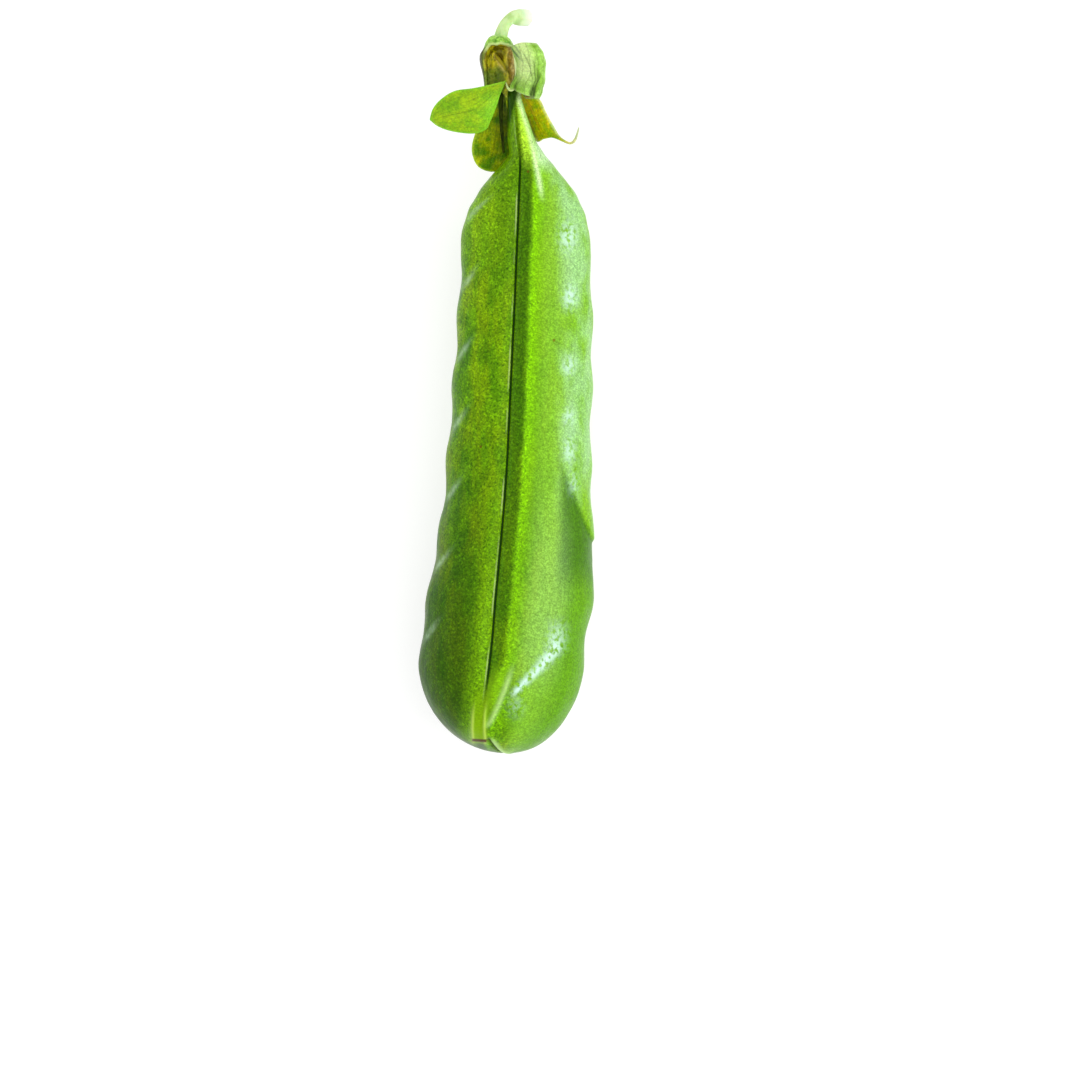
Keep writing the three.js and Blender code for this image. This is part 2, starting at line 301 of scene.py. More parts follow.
def ring_faces(rings, sides):
    """Faces of a skin over rings that lie point after point, closed by a point at either end."""
    last = 1 + rings * sides
    faces = []
    for side in range(sides):
        after = (side + 1) % sides
        faces.append((0, 1 + after, 1 + side))
        foot = 1 + (rings - 1) * sides
        faces.append((last, foot + side, foot + after))
    for ring in range(rings - 1):
        low = 1 + ring * sides
        high = low + sides
        for side in range(sides):
            after = (side + 1) % sides
            faces.append((low + side, low + after, high + after, high + side))
    return faces


def sheet_points_and_faces(middle, thickness):
    """Both faces and the rim of a thin sheet, from a grid of points and its thickness there."""
    rows, columns = middle.shape[:2]
    along = np.gradient(middle, axis=0)
    across = np.gradient(middle, axis=1)
    normal = np.cross(along, across)
    normal /= np.maximum(np.linalg.norm(normal, axis=2, keepdims=True), 1e-9)
    half = thickness[..., None] / 2
    points = np.concatenate([middle + normal * half, middle - normal * half]).reshape(-1, 3)
    size = rows * columns
    faces = []
    for row in range(rows - 1):
        for column in range(columns - 1):
            a = row * columns + column
            b = a + columns
            faces.append((a, b, b + 1, a + 1))
            faces.append((size + a, size + a + 1, size + b + 1, size + b))
    for row in range(rows - 1):
        a = row * columns
        b = a + columns
        faces.append((a, size + a, size + b, b))
        a += columns - 1
        b += columns - 1
        faces.append((a, b, size + b, size + a))
    for column in range(columns - 1):
        a = column
        faces.append((a, a + 1, size + a + 1, size + a))
        a += (rows - 1) * columns
        faces.append((a, size + a, size + a + 1, a + 1))
    return points, faces


# ---------------------------------------------------------------- node materials


class Skin:
    """A node material with one Principled shader, built up by small named steps."""

    def __init__(self, name, roughness, **fixed):
        self.material = bpy.data.materials.new(name)
        self.material.use_nodes = True
        self.tree = self.material.node_tree
        self.shader = self.tree.nodes["Principled BSDF"]
        self.shader.inputs["Roughness"].default_value = roughness
        for key, value in fixed.items():
            self.shader.inputs[key.replace("_", " ")].default_value = value
        self.place = self.tree.nodes.new("ShaderNodeTexCoord").outputs["Object"]

    def node(self, kind, **settings):
        node = self.tree.nodes.new(kind)
        for key, value in settings.items():
            setattr(node, key, value)
        return node

    def feed(self, socket, value):
        if isinstance(value, bpy.types.NodeSocket):
            self.tree.links.new(value, socket)
        else:
            socket.default_value = value

    def value(self, name):
        return self.node("ShaderNodeAttribute", attribute_name=name).outputs["Fac"]

    def grain(self, size, detail=2.0, stretch=(1, 1, 1), contrast=None):
        """Noise whose lumps are about size millimetres across, longer where stretch is more."""
        mapping = self.node("ShaderNodeMapping")
        self.feed(mapping.inputs["Vector"], self.place)
        scale = [1 / (size * METRES * s) for s in stretch]
        self.feed(mapping.inputs["Scale"], scale)
        texture = self.node("ShaderNodeTexNoise")
        self.feed(texture.inputs["Vector"], mapping.outputs["Vector"])
        self.feed(texture.inputs["Scale"], 1.0)
        self.feed(texture.inputs["Detail"], detail)
        if contrast is None:
            return texture.outputs["Fac"]
        return self.window(texture.outputs["Fac"], *contrast)

    def dots(self, size, radius, share):
        """Scattered round specks. share is how many of the cells of that size hold one."""
        cells = self.node("ShaderNodeTexVoronoi")
        mapping = self.node("ShaderNodeMapping")
        self.feed(mapping.inputs["Vector"], self.place)
        self.feed(mapping.inputs["Scale"], [1 / (size * METRES)] * 3)
        self.feed(cells.inputs["Vector"], mapping.outputs["Vector"])
        self.feed(cells.inputs["Scale"], 1.0)
        near = self.window(cells.outputs["Distance"], radius, radius * 0.55)
        red = self.node("ShaderNodeSeparateColor")
        self.feed(red.inputs["Color"], cells.outputs["Color"])
        chosen = self.math("LESS_THAN", red.outputs["Red"], share)
        return self.math("MULTIPLY", near, chosen)

    def window(self, value, start, end):
        """0 at start and 1 at end, eased."""
        node = self.node("ShaderNodeMapRange", interpolation_type="SMOOTHSTEP")
        self.feed(node.inputs["Value"], value)
        self.feed(node.inputs["From Min"], min(start, end))
        self.feed(node.inputs["From Max"], max(start, end))
        self.feed(node.inputs["To Min"], 0.0 if start < end else 1.0)
        self.feed(node.inputs["To Max"], 1.0 if start < end else 0.0)
        return node.outputs["Result"]

    def math(self, operation, a, b=0.0, c=0.0):
        node = self.node("ShaderNodeMath", operation=operation)
        self.feed(node.inputs[0], a)
        self.feed(node.inputs[1], b)
        self.feed(node.inputs[2], c)
        return node.outputs["Value"]

    def between(self, value, low, high):
        """A value from 0 to 1 carried onto low to high."""
        return self.math("MULTIPLY_ADD", value, high - low, low)

    def varied(self, color, grain, low, high):
        """A colour made darker or lighter by a factor that follows a grain."""
        node = self.node("ShaderNodeVectorMath", operation="SCALE")
        self.feed(node.inputs[0], color)
        self.feed(node.inputs["Scale"], self.between(grain, low, high))
        return node.outputs["Vector"]

    def times(self, *factors):
        product = factors[0]
        for factor in factors[1:]:
            product = self.math("MULTIPLY", product, factor)
        return product

    def mix(self, factor, below, above):
        node = self.node("ShaderNodeMix", data_type="RGBA")
        self.feed(node.inputs["Factor"], factor)
        self.feed(node.inputs["A"], rgba(below))
        self.feed(node.inputs["B"], rgba(above))
        return node.outputs["Result"]

    def bump(self, heights):
        """heights are (height, depth in millimetres), finest last."""
        normal = None
        for height, depth in heights:
            node = self.node("ShaderNodeBump")
            self.feed(node.inputs["Height"], height)
            self.feed(node.inputs["Distance"], depth * METRES)
            if normal is not None:
                self.feed(node.inputs["Normal"], normal)
            normal = node.outputs["Normal"]
        self.feed(self.shader.inputs["Normal"], normal)

    def finish(self, color, roughness=None):
        self.feed(self.shader.inputs["Base Color"], rgba(color))
        if roughness is not None:
            self.feed(self.shader.inputs["Roughness"], roughness)
        return self.material


def rgba(color):
    """Colours are written as screen values from 0 to 255."""
    if isinstance(color, bpy.types.NodeSocket):
        return color
    linear = [((c / 255 + 0.055) / 1.055) ** 2.4 if c > 10 else c / 255 / 12.92 for c in color]
    return (*linear, 1.0)


def pod_skin():
    skin = Skin("pod_skin", 0.36, Specular_IOR_Level=0.06, Subsurface_Weight=0.05)
    skin.shader.inputs["Subsurface Radius"].default_value = (0.6, 1.0, 0.1)
    skin.shader.inputs["Subsurface Scale"].default_value = 1.0 * METRES
    seam = skin.value("from_seam")
    right = skin.value("right")
    along = skin.value("along")
    wander = skin.times(skin.grain(1.5, 3, stretch=(1, 2, 1), contrast=(0.3, 0.7)), 0.2)
    lip = skin.math("SUBTRACT", seam, skin.value("right_lip"))
    lip = skin.math("SUBTRACT", skin.math("ADD", lip, wander), 0.1)

    # Greens that drift along the pod. The right flank is painted lighter and the left flank gets
    # painted shade, deepest towards the blossom end, as if lit from the right; high on the right
    # flank a painted sheen lies over the pale wax bloom.
    mottle = skin.grain(1.3, 4, stretch=(1, 1.5, 1), contrast=(0.36, 0.64))
    patches = skin.grain(1.9, 3, stretch=(1, 3.5, 1), contrast=(0.4, 0.66))
    color = skin.mix(mottle, (68, 118, 0), (96, 148, 2))
    color = skin.mix(skin.times(patches, 0.62), color, (130, 160, 0))
    # painted light: the right flank made lighter, as if lit from the right
    color = skin.mix(skin.times(skin.window(right, -0.02, 0.4), 0.75), color, (120, 180, 10))
    left = skin.window(right, 0.1, -0.55)
    color = skin.mix(skin.times(left, skin.window(along, 40, 53), 0.4), color, (134, 184, 20))
    # painted shade on the left flank, deepening towards the blossom end
    color = skin.mix(skin.times(left, skin.window(along, 36, 6), 0.78), color, (30, 64, 0))
    low_right = skin.times(skin.window(right, 0.35, 0.8), skin.window(along, 24, 12))
    color = skin.mix(skin.times(low_right, 0.7), color, (78, 136, 0))
    cloud = skin.grain(2.6, 3, stretch=(1, 1.7, 1), contrast=(0.3, 0.62))
    # pale wax bloom with a painted reflection of the bright room over it, high on the right flank
    color = skin.mix(skin.times(skin.value("bloom_and_sheen"), cloud, 0.5), color, (166, 210, 160))
    # painted shade in the dent below its crisp upper edge
    color = skin.mix(skin.times(skin.value("dent"), 0.85), color, (52, 102, 0))

    # The lime band beside the right lip, its own lime colour with painted light on the crest that
    # faces the light; a lighter band on the left lip, painted light on its slope that faces the
    # light; and a dark strip, its own darker green with painted shade on the slope that faces away.
    # painted sheen: a pale overlay on the right flank, strongest towards the blossom end
    flank_sheen = skin.times(skin.window(right, 0.05, 0.4), skin.window(right, 0.85, 0.5))
    low_pale = skin.times(skin.window(along, 28, 16), skin.window(along, 5, 10))
    flank_sheen = skin.times(flank_sheen, skin.between(low_pale, 0.06, 0.2))
    color = skin.mix(flank_sheen, color, (186, 222, 150))
    # lime band: own colour with painted light on the lit crest
    lime = skin.times(skin.window(lip, -0.4, 0.3), skin.window(lip, 1.9, 0.1))
    upper = skin.value("upper")
    lime = skin.times(lime, skin.between(skin.window(along, 12, 30), 0.6, 0.92), upper)
    color = skin.mix(lime, color, (122, 190, 0))
    # painted light on the left lip's slope that faces the light
    lit_left_band = skin.times(skin.window(seam, -2.9, -0.7), skin.window(seam, 0.0, -0.3))
    low = skin.between(skin.window(along, 30, 12), 0.2, 0.6)
    color = skin.mix(skin.times(lit_left_band, low, upper), color, (122, 178, 6))
    dusk = skin.times(skin.window(seam, -2.9, -1.4), skin.window(seam, 0.1, -0.1))
    dusk = skin.times(dusk, skin.window(along, 41, 49))
    color = skin.mix(skin.times(dusk, 0.6), color, (74, 122, 0))
    # dark strip: own darker green with painted shade on the slope facing away
    strip = skin.times(skin.window(seam, 0.0, 0.25), skin.window(lip, 0.3, -0.4))
    strip = skin.times(strip, skin.between(skin.window(along, 10, 30), 0.55, 0.85), upper)
    color = skin.mix(skin.times(strip, skin.value("strip")), color, (60, 106, 0))

    # The neck: a lime ridge runs down its right side onto a pale shoulder. The lime is partly
    # painted light, the ridge's white crest and the pale shoulder are painted highlights, and
    # painted shadow darkens the neck's left side under the sepals.
    color = skin.mix(skin.times(skin.value("neck_side"), 0.92), color, (176, 226, 50))
    color = skin.mix(skin.times(skin.value("shoulder"), 0.75), color, (206, 234, 190))
    color = skin.mix(skin.times(skin.value("neck_ridge"), 0.85), color, (212, 238, 176))
    # painted shadow on the neck's left side, under the sepals
    color = skin.mix(skin.times(skin.value("hollow"), 0.9), color, (20, 50, 0))

    # Fine speckle, and a few dark and rusty specks.
    color = skin.varied(color, skin.grain(0.15, 3, contrast=(0.27, 0.73)), 0.68, 1.24)
    color = skin.varied(color, skin.grain(0.34, 3, contrast=(0.3, 0.7)), 0.86, 1.14)
    deep_side = skin.window(right, 0.35, -0.05)
    dark_grain = skin.grain(0.21, 4, contrast=(0.5, 0.68))
    color = skin.mix(skin.times(deep_side, dark_grain, 0.6), color, (30, 70, 0))
    light_grain = skin.times(skin.grain(0.27, 4, contrast=(0.48, 0.7)), deep_side)
    color = skin.varied(color, light_grain, 1.0, 1.6)
    color = skin.mix(skin.times(skin.dots(0.9, 0.17, 0.25), 0.4), color, (34, 66, 0))
    color = skin.mix(skin.times(skin.dots(3.7, 0.05, 0.4), 0.7), color, (96, 70, 6))

    # Painted highlights: pale patches over the peas and a long streak by the beak, and painted
    # glints on the left edge.
    ragged = skin.grain(0.42, 4, stretch=(1, 1.3, 1), contrast=(0.36, 0.56))
    # painted highlights over the peas and by the beak
    color = skin.mix(skin.times(skin.value("painted_highlight"), ragged, 0.78), color, (196, 230, 216))
    glint = skin.times(skin.value("glint"), skin.between(ragged, 0.22, 0.48))
    color = skin.mix(glint, color, (184, 216, 176))

    # The seam itself: a dark line, with a painted highlight as a thin pale line on the left wall of
    # its groove.
    dash = skin.grain(1.2, 2, stretch=(1, 4, 1), contrast=(0.42, 0.6))
    # painted highlight on the groove's left wall, which faces the light
    pale = skin.times(skin.window(seam, -0.34, -0.22), skin.window(seam, -0.12, -0.19), dash)
    color = skin.mix(skin.times(pale, skin.value("seam_line"), 0.5), color, (190, 206, 140))
    line = skin.times(skin.window(seam, -0.15, -0.07), skin.window(seam, 0.15, 0.05))
    color = skin.mix(skin.times(line, skin.value("seam_line"), 0.95), color, (10, 46, 2))

    # The beak is yellow-green between two pale ridges, and its scar is dark and dry. Painted light
    # lies beside the fold with a painted highlight along it, painted shadow lies under the beak,
    # and a painted highlight band runs beside the back's crease.
    color = skin.mix(skin.times(skin.value("beak"), 0.8), color, (132, 176, 0))
    # painted light beside the fold
    color = skin.mix(skin.times(skin.value("fold_side"), 0.3), color, (150, 200, 20))
    color = skin.mix(skin.times(skin.value("ridge"), 0.6), color, (196, 222, 96))
    # painted highlight along the fold
    color = skin.mix(skin.times(skin.value("fold"), 0.5), color, (196, 230, 150))
    # painted shadow under the beak
    color = skin.mix(skin.times(skin.value("beak_shadow"), 0.7), color, (40, 78, 0))
    # painted highlight band beside the back's crease
    color = skin.mix(skin.times(skin.value("crease_band"), 0.85), color, (184, 220, 140))
    color = skin.mix(skin.times(skin.value("crease"), 0.95), color, (54, 70, 4))
    color = skin.mix(skin.value("scar"), color, (80, 54, 0))
    color = skin.mix(skin.times(skin.value("back_seam"), 0.6), color, (60, 104, 4))
    color = skin.mix(skin.value("stipe"), color, (150, 140, 30))

    skin.bump([(skin.grain(1.1, 3, stretch=(1, 1.6, 1)), 0.06), (skin.grain(0.26, 3), 0.025)])
    matte = skin.grain(2.2, 3, contrast=(0.3, 0.7))
    return skin.finish(color, skin.between(matte, 0.27, 0.39))


def leaf_skin(name, young, old, edge, brown=None, dark=(36, 58, 0), veins=0.45):
    """A thin leafy blade: veins along it, a net between them and a pale margin."""
    skin = Skin(name, 0.45, Specular_IOR_Level=0.2, Subsurface_Weight=0.2)
    skin.shader.inputs["Subsurface Radius"].default_value = (0.6, 1.0, 0.15)
    skin.shader.inputs["Subsurface Scale"].default_value = 0.4 * METRES
    blotch = skin.grain(1.1, 3, contrast=(0.35, 0.65))
    color = skin.mix(blotch, young, old)
    net = skin.grain(0.3, 3, contrast=(0.42, 0.6))
    color = skin.mix(skin.times(net, 0.22), color, [c * 0.6 for c in young])
    color = skin.mix(skin.times(skin.dots(0.6, 0.2, 0.35), 0.3), color, [c * 0.5 for c in young])
    # bright: a paler zone of the blade's own colour; on the rolled sepal it is painted light on its
    # lit side
    color = skin.mix(skin.times(skin.value("bright"), 0.7), color, edge)
    color = skin.mix(skin.times(skin.value("vein"), veins), color, [c * 0.5 for c in young])
    color = skin.varied(color, skin.grain(0.17, 3, contrast=(0.28, 0.72)), 0.82, 1.18)
    color = skin.mix(skin.times(skin.value("margin"), 0.5), color, edge)
    color = skin.mix(skin.times(skin.value("shade"), 0.8), color, dark)
    if brown is not None:
        color = skin.mix(skin.times(skin.value("brown"), 0.85), color, brown)
    skin.bump([(net, 0.03), (skin.grain(0.15, 2), 0.012)])
    return skin.finish(color)


def cup_skin():
    skin = Skin("calyx_cup_skin", 0.5, Specular_IOR_Level=0.25, Subsurface_Weight=0.12)
    skin.shader.inputs["Subsurface Scale"].default_value = 0.4 * METRES
    blotch = skin.grain(0.8, 3, contrast=(0.35, 0.65))
    color = skin.mix(blotch, (88, 150, 20), (152, 204, 78))
    color = skin.mix(skin.times(skin.value("foot"), 0.6), color, (190, 224, 140))
    streak = skin.grain(0.42, 4, stretch=(1, 3, 1), contrast=(0.38, 0.62))
    olive = skin.mix(streak, (112, 108, 0), (190, 182, 0))
    warm = skin.mix(streak, (150, 122, 24), (210, 190, 110))
    inner = skin.mix(skin.value("warm"), olive, warm)
    inner = skin.mix(skin.times(skin.value("leafy"), 0.8), inner, (70, 100, 0))
    inner = skin.mix(skin.times(skin.value("fold"), 0.7), inner, (196, 178, 84))
    color = skin.mix(skin.times(skin.value("dull"), 0.95), color, (66, 70, 0))
    color = skin.mix(skin.value("inside"), color, inner)
    # dark brown in the pit, in the valley beside the fold and on the inner left wall: the dry
    # inside's own brown, with painted shade in the recesses
    color = skin.mix(skin.times(skin.value("pit"), 0.75), color, (88, 54, 0))
    color = skin.varied(color, skin.grain(0.2, 3, contrast=(0.28, 0.72)), 0.75, 1.25)
    color = skin.mix(skin.times(skin.value("margin"), 0.75), color, (200, 222, 140))
    skin.bump([(streak, 0.06), (skin.grain(0.2, 2), 0.015)])
    return skin.finish(color)


def stalk_skin():
    skin = Skin("stalk_skin", 0.5, Specular_IOR_Level=0.4, Subsurface_Weight=0.3)
    skin.shader.inputs["Subsurface Scale"].default_value = 0.6 * METRES
    blotch = skin.grain(0.7, 3, stretch=(1, 2, 1), contrast=(0.35, 0.65))
    color = skin.mix(blotch, (168, 204, 122), (196, 224, 156))
    color = skin.mix(skin.value("cut"), color, (222, 240, 212))
    skin.bump([(skin.grain(0.25, 3, stretch=(1, 3, 1)), 0.04)])
    return skin.finish(color)


def stamen_and_shadow_skin():
    skin = Skin("dried_stamen_and_shadow_skin", 0.85, Specular_IOR_Level=0.1)
    fibres = skin.grain(0.2, 3, stretch=(1, 6, 1), contrast=(0.3, 0.7))
    # near black: the dried threads' own dark brown-green, also standing for the shadow in the
    # crevice beside the neck
    color = skin.mix(fibres, (12, 20, 0), (52, 66, 0))
    skin.bump([(fibres, 0.05)])
    return skin.finish(color)


# ---------------------------------------------------------------- the pod


def pod_surface():
    """Points of the pod ring by ring, and the numbers its material paints from."""
    end_rings = 96
    body_rings = 330
    sides = 256
    crowding = 0.62
    end = BLUNT_END * (1 - np.cos(np.pi / 2 * np.arange(1, end_rings + 1) / end_rings))
    body = BLUNT_END + (POD_LENGTH - BLUNT_END) * np.arange(1, body_rings + 1) / body_rings
    y = np.r_[end, body][:, None]
    turn = 2 * np.pi * np.arange(sides)[None, :] / sides
    body_y = np.maximum(y, BLUNT_END)
    reach = half_width(body_y)
    full = fullness(y, END_BLUNTNESS)
    lean = np.arcsin((seam_x(y) - mid_x(y)) / np.maximum(reach * full, 3))
    angle = lean + turn - crowding * np.sin(turn)
    side, up = np.sin(angle), np.cos(angle)
    on_top = np.maximum(up, 0)

    swell = PEA_SWELL * pea_wave(y) * side**2
    x = mid_x(y) + side * (reach * full + swell)
    middle = mid_height(body_y)
    height = np.where(up > 0, top_height(body_y) - middle, middle - back_height(body_y))
    z = middle + up * height * np.where(up > 0, fullness(y, 2.1 + 0.7 * on_top), full)

    # A dent in the right flank, where the pod leaned on something, with a crisp upper edge.
    past_edge = y - DENT_EDGE[1] + 2.1 * (x - DENT_EDGE[0])
    dent = fade(past_edge, 0.1, -0.35) * fade(x, 3.9, 5.4) * fade(y, 14, 19) * (side > 0)
    dent = dent * fade(z, 4, 6.5)
    x = x - DENT_DEPTH * dent

    from_seam = np.where(up > 0, x - seam_x(y), 20.0 * np.sign(side))
    relief = seam_relief(y, from_seam) * on_top
    z = z + relief

    # The beak: a flat-topped stub between two thin ridges, cut off square.
    ahead = fade(y, BEAK_TIP - 0.5, BEAK_TIP + 0.12)
    from_beak = np.abs(x - beak_x(y))
    stub = fade(y, 7, 1.4) * ahead * fade(from_beak, 1.05, 0.5)
    ridge = bell(from_beak - BEAK_HALF_WIDTH + 0.1, 0.12) * fade(y, 5.2, 2.8) * ahead
    z = z + on_top * (BEAK_HEIGHT * stub + 0.13 * ridge)
    past_fold = x - beak_fold_x(y)
    fold_run = fade(y, 2.2, 3.0) * fade(y, 9, 6.5)
    fold = bell(past_fold, 0.27) * fold_run
    fold_side = fade(past_fold, 0.3, -0.1) * fade(x - beak_x(y), 0.3, 0.6) * fold_run
    z = z + on_top * 0.18 * fold

    # The ridge down the right of the neck, and the shoulder beyond it.
    past_ridge = x - neck_ridge_x(y)
    ridge_run = fade(y, 52.2, 54.5)
    neck_ridge = bell(past_ridge, 0.24) * ridge_run * on_top
    z = z + 0.16 * neck_ridge
    # masks for the neck's painted light: the lime side and the shoulder's painted highlight
    neck_side = fade(past_ridge, 0.1, -0.1) * fade(from_seam, 0.1, 0.5) * fade(y, 55, 58)
    shoulder = fade(past_ridge, 0.0, 0.5) * fade(past_ridge, 2.2, 0.9) * fade(y, 55, 57)

    # The back's seam comes up round the blunt end to the beak.
    at_end = fade(y, 4.5, 2) * fade(z, 13.2, 12.6)
    from_crease = x - back_crease_x(z)
    at_end = at_end * (0.25 + 0.75 * fade(z, 6, 11))
    crease = bell(from_crease, 0.17) * at_end
    # a slightly raised band beside the crease, which carries a painted highlight
    crease_band = bell(from_crease - 0.46, 0.27) * at_end
    y_push = 0.2 * crease - 0.14 * crease_band
    scar = fade(y, BEAK_TIP + 0.34, BEAK_TIP + 0.24) * fade(y, BEAK_TIP - 0.06, BEAK_TIP + 0.06)
    scar = scar * fade(from_beak, 0.78, 0.62) * (up > 0)
    # where shadow is painted under the beak
    beak_shadow = fade(y, BEAK_TIP, BEAK_TIP - 0.3) * fade(x - beak_x(y), 0.9, 0.2)
    beak_shadow = beak_shadow * fade(from_beak, 2.5, 1) * fade(z, 8, 11)
    back_seam = bell(x - mid_x(y), 0.16) * (up < 0) * fade(y, 2, 5)
    z = z + 0.12 * back_seam

    wobble = lumps(x, y + 0 * x, z, 4.5, 2) * 0.09 + lumps(x, y + 0 * x, z, 1.3, 3) * 0.022
    wobble = wobble * fade(y, 0, 3) * fade(y, POD_LENGTH, 57)
    x = x + side * wobble
    z = np.maximum(z + up * wobble, 0)

    points = np.stack([x, y + 0 * x + y_push, z], axis=2).reshape(-1, 3)
    # where the wax bloom and its painted sheen lie on the right flank
    bloom_and_sheen = fade(side, 0.42, 0.74) * fade(up, -0.5, 0.1) * fade(y, 20, 29)
    glint = left_glints(x - mid_x(y) + reach * full, y) * fade(side, -0.4, -0.6)
    glint = glint * fade(up, 0.05, 0.3)
    values = {
        "from_seam": from_seam,
        "right": side,
        "upper": fade(z, 8, 11.5),
        "along": y + 0 * x,
        "bloom_and_sheen": bloom_and_sheen * (1 - dent),
        "dent": dent,
        "painted_highlight": highlight_patches(x, y) * (up > 0),
        "glint": glint,
        "right_lip": right_lip(y) + 0 * x,
        "strip": fade(y, 60.5, 55) + 0 * x,
        "seam_line": fade(y, 4.2, 8) * (0.35 * fade(y, 62, 60) + 0.65 * fade(y, 58, 55.5)) + 0 * x,
        "beak": stub * fade(up, 0, 0.2),
        "ridge": ridge * fade(up, 0, 0.2),
        "fold": fold * on_top,
        "fold_side": fold_side * on_top,
        "neck_ridge": neck_ridge,
        "neck_side": neck_side * on_top,
        "shoulder": shoulder * on_top,
        "crease": crease,
        "crease_band": crease_band,
        "scar": scar,
        "beak_shadow": beak_shadow,
        "back_seam": back_seam,
        "hollow": fade(x - neck_dark_x(y), 0.28, -0.25) * fade(y, 57.5, 60),
        "stipe": 0 * x,
    }
    return points, values, len(y), sides


def highlight_patches(x, y):
    """Painted highlights high on the right flank, over each pea, and a long painted highlight
    streak near the beak.
    """
    painted_highlight = 0 * x
    for place_x, place_y, width, length, strength in HIGHLIGHT_PATCHES:
        painted_highlight = painted_highlight + strength * bell(x - place_x, width) * bell(y - place_y, length)
    highlight_streak = 1.25 * bell((x - highlight_streak_x(y)) * 0.74, 0.055 * y - 0.04)
    return painted_highlight + highlight_streak * fade(y, 5.3, 6.2) * fade(y, 13.8, 9.5)


def left_glints(from_edge, y):
    """A short slanting streak near the left edge beside each pea."""
    glint = 0 * from_edge
    for pea in range(PEA_COUNT):
        ahead = y - (FIRST_PEA + PEA_PITCH * pea + 3.2)
        across = (from_edge - 0.6) * 0.87 - ahead * 0.5
        forward = (from_edge - 0.6) * 0.5 + ahead * 0.87
        glint = glint + bell(across, 0.24) * bell(forward, 1.1)
    return glint


def seam_relief(y, from_seam):
    """A V-shaped furrow between two lips, with the seam as a fine cut along its bottom."""
    slope = groove_slope(y)
    left = -0.6 * slope * ramp_up(from_seam + left_lip(y), 0.6)
    right = -slope * ramp_up(right_lip(y) - from_seam, 0.3)
    furrow = np.maximum(left, right)
    size = slope / 0.26
    crests = 0.14 * bell(from_seam - right_lip(y), 0.5) + 0.1 * bell(from_seam + left_lip(y), 0.8)
    cut = 0.2 * bell(from_seam, 0.11) * fade(y, 4, 8)
    thin_lip = 0.06 * bell(from_seam + 0.22, 0.07)
    return furrow + size * (crests - cut + thin_lip)


def stipe_rings(sides):
    """The thin stipe that joins the neck to the inside of the cup."""
    path = through(
        [
            (-1.85, POD_LENGTH + 0.08, 11.6),
            (-2.45, 63.5, 11.75),
            (-2.6, 64.2, 11.9),
            (-2.75, 65.1, 11.95),
            (-3.15, 65.7, 11.9),
            (-3.7, 66.4, 11.6),
        ],
        18,
    )
    thickness = smooth([(0, 0.42), (0.18, 0.24), (0.4, 0.16), (0.7, 0.22), (1, 0.12)])
    radius = thickness(np.linspace(0, 1, len(path)))
    turn = 2 * np.pi * np.arange(sides) / sides
    rings = []
    for (x, y, z), r in zip(path, radius):
        rings.append(np.stack([x + r * np.sin(turn), y + 0 * turn, z + r * np.cos(turn)], axis=1))
    return np.vstack(rings), len(path)


def make_pod():
    points, values, rings, sides = pod_surface()
    stipe, stipe_count = stipe_rings(sides)
    first = [(float(mid_x(0)), 0, MID_HEIGHT)]
    last = stipe[-sides:].mean(axis=0)[None, :]
    points = np.vstack([first, points, stipe, last])
    on_stipe = {"from_seam": 3.0, "right_lip": 0.5, "stipe": 1.0, "along": POD_LENGTH}
    extra = len(stipe) + 1
    padded = {}
    for key, numbers in values.items():
        numbers = np.ravel(numbers)
        padded[key] = np.r_[numbers[:1], numbers, np.full(extra, on_stipe.get(key, 0.0))]
    faces = ring_faces(rings + stipe_count, sides)
    return add_piece("pod_body", points, faces, "pod", pod_skin(), padded)


# ---------------------------------------------------------------- calyx

ROLL_MIDDLE = smooth(
    [
        (62.2, -0.28),
        (63.2, -0.48),
        (64.2, -0.18),
        (65.2, -0.18),
        (66.3, -0.4),
        (67.1, -0.75),
        (67.6, -1.08),
    ]
)
ROLL_RADIUS = smooth(
    [(62.2, 0.9), (63.2, 1.5), (64.2, 1.44), (65.2, 1.42), (66.3, 1.45), (67.1, 1.34), (67.6, 1.0)]
)


def blade(name, node, left, right, camber, material, bright=None, shade=None, waves=0.12):
    """A sepal between two edges, with veins that run from its base to its tip."""
    rows, columns = 120, 64
    a, b = through(left, rows), through(right, rows)
    v = np.linspace(0, 1, columns)[None, :]
    u = np.linspace(0, 1, rows)[:, None]
    middle = a[:, None, :] * (1 - v[..., None]) + b[:, None, :] * v[..., None]
    swell = np.sin(np.pi * v) * np.sin(np.pi * np.clip(u, 0, 1))
    middle[..., 2] += camber * swell
    ripple = lumps(middle[..., 0], middle[..., 1], middle[..., 2], 1.7, 2)
    middle[..., 2] += waves * ripple * fade(u, 0, 0.25)

    veins = bell(v - 0.5, 0.022)
    for place in (0.16, 0.29, 0.4, 0.6, 0.71, 0.84):
        veins = veins + 0.55 * bell(v - place, 0.014)
    veins = veins * fade(u, 1.02, 0.8) + 0 * u
    edge = np.minimum(v, 1 - v) * np.linalg.norm(b - a, axis=1)[:, None]
    edge = np.minimum(edge, (1 - u) * 4)
    margin = fade(edge, 0.28, 0.05)
    thickness = 0.12 + 0.16 * fade(edge, 0.0, 0.5)
    middle[..., 2] -= 0.035 * veins
    points, faces = sheet_points_and_faces(middle, thickness)
    values = {"vein": veins, "margin": margin, "bright": 0 * veins, "shade": 0 * veins}
    if bright is not None:
        values["bright"] = bright(u, v) + 0 * veins
    if shade is not None:
        values["shade"] = shade(u, v) + 0 * veins
    values = {key: np.tile(np.ravel(n), 2) for key, n in values.items()}
    return add_piece(name, points, faces, node, material, values)


